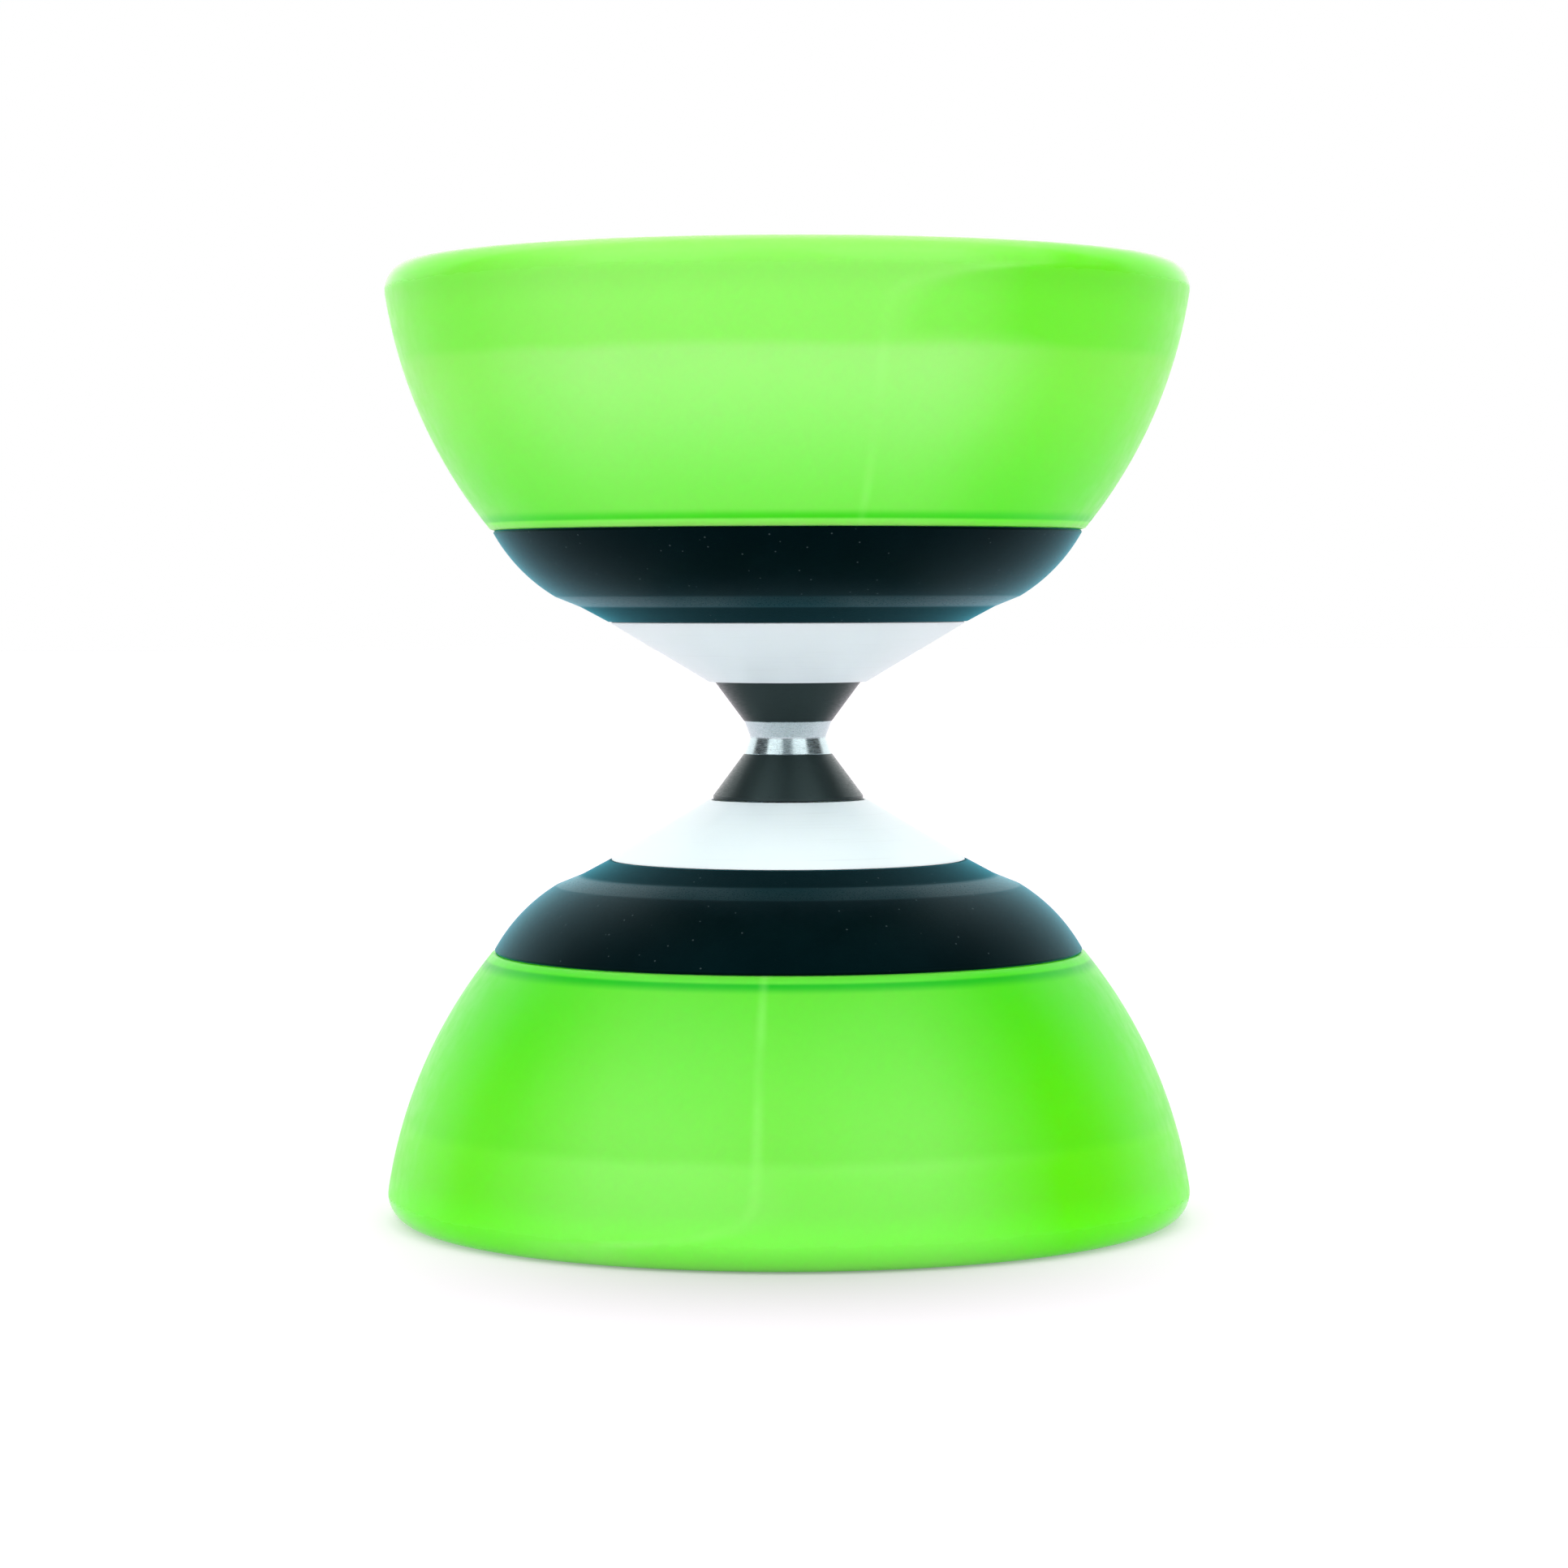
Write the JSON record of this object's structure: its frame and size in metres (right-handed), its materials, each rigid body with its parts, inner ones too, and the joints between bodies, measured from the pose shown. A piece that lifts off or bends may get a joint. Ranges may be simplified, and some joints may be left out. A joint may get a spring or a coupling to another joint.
{
  "type": "bearing diabolo",
  "caption": "Large shell diabolo: two translucent green cups on ribbed hubs, joined by a short grooved axle sleeve that turns on ball bearings and drives them through a roller clutch.",
  "frame": {"origin": "centre of the circle that the lower rim stands on", "axes": "+Z along the axle, from the lower cup to the upper cup; the object is round about Z"},
  "size_m": [0.1168, 0.1168, 0.1386],
  "materials": {
    "cup_green": "satin translucent",
    "hub_black": "fine moulded texture",
    "cone_white": "smooth satin",
    "disc_black": "moulded satin",
    "sleeve_black": "black anodised, bare groove",
    "steel": "zinc plated or ground",
    "bearing_steel": "ground and polished",
    "cage_brass": "pressed",
    "nylon": "translucent nylon"
  },
  "bodies": {
    "frame": {"upper_cup": "cup_green", "upper_hub": "hub_black", "upper_cone_washer": "cone_white", "upper_clamp_disc": "disc_black", "upper_flat_washer": "steel", "upper_lock_nut": "steel", "upper_nut_insert": "nylon", "upper_shim": "steel", "upper_bearing_inner_ring": "bearing_steel", "lower_cup": "cup_green", "lower_hub": "hub_black", "lower_cone_washer": "cone_white", "lower_clamp_disc": "disc_black", "lower_flat_washer": "steel", "lower_lock_nut": "steel", "lower_nut_insert": "nylon", "lower_shim": "steel", "lower_bearing_inner_ring": "bearing_steel", "axle_shaft": "steel"},
    "sleeve": {"upper_bearing_outer_ring": "bearing_steel", "upper_bearing_shields": "steel", "lower_bearing_outer_ring": "bearing_steel", "lower_bearing_shields": "steel", "axle_sleeve": "sleeve_black", "clutch_shell": "bearing_steel", "clutch_rollers": "bearing_steel", "clutch_cage": "cage_brass"},
    "upper_ball_set": {"upper_bearing_balls": "bearing_steel", "upper_ball_cage": "cage_brass"},
    "lower_ball_set": {"lower_bearing_balls": "bearing_steel", "lower_ball_cage": "cage_brass"}
  },
  "joints": [
    {"name": "sleeve_spin", "type": "hinge", "parent": "frame", "child": "sleeve", "pos_m": [0, 0, 0.06979], "axis": [0, 0, 1], "continuous": true},
    {"name": "upper_balls_orbit", "type": "hinge", "parent": "frame", "child": "upper_ball_set", "pos_m": [0, 0, 0.07639], "axis": [0, 0, 1], "continuous": true},
    {"name": "lower_balls_orbit", "type": "hinge", "parent": "frame", "child": "lower_ball_set", "pos_m": [0, 0, 0.06319], "axis": [0, 0, 1], "continuous": true}
  ],
  "couplings": [
    {"joint": "upper_balls_orbit", "follows": "sleeve_spin", "ratio": 0.6111},
    {"joint": "lower_balls_orbit", "follows": "sleeve_spin", "ratio": 0.6111}
  ]
}
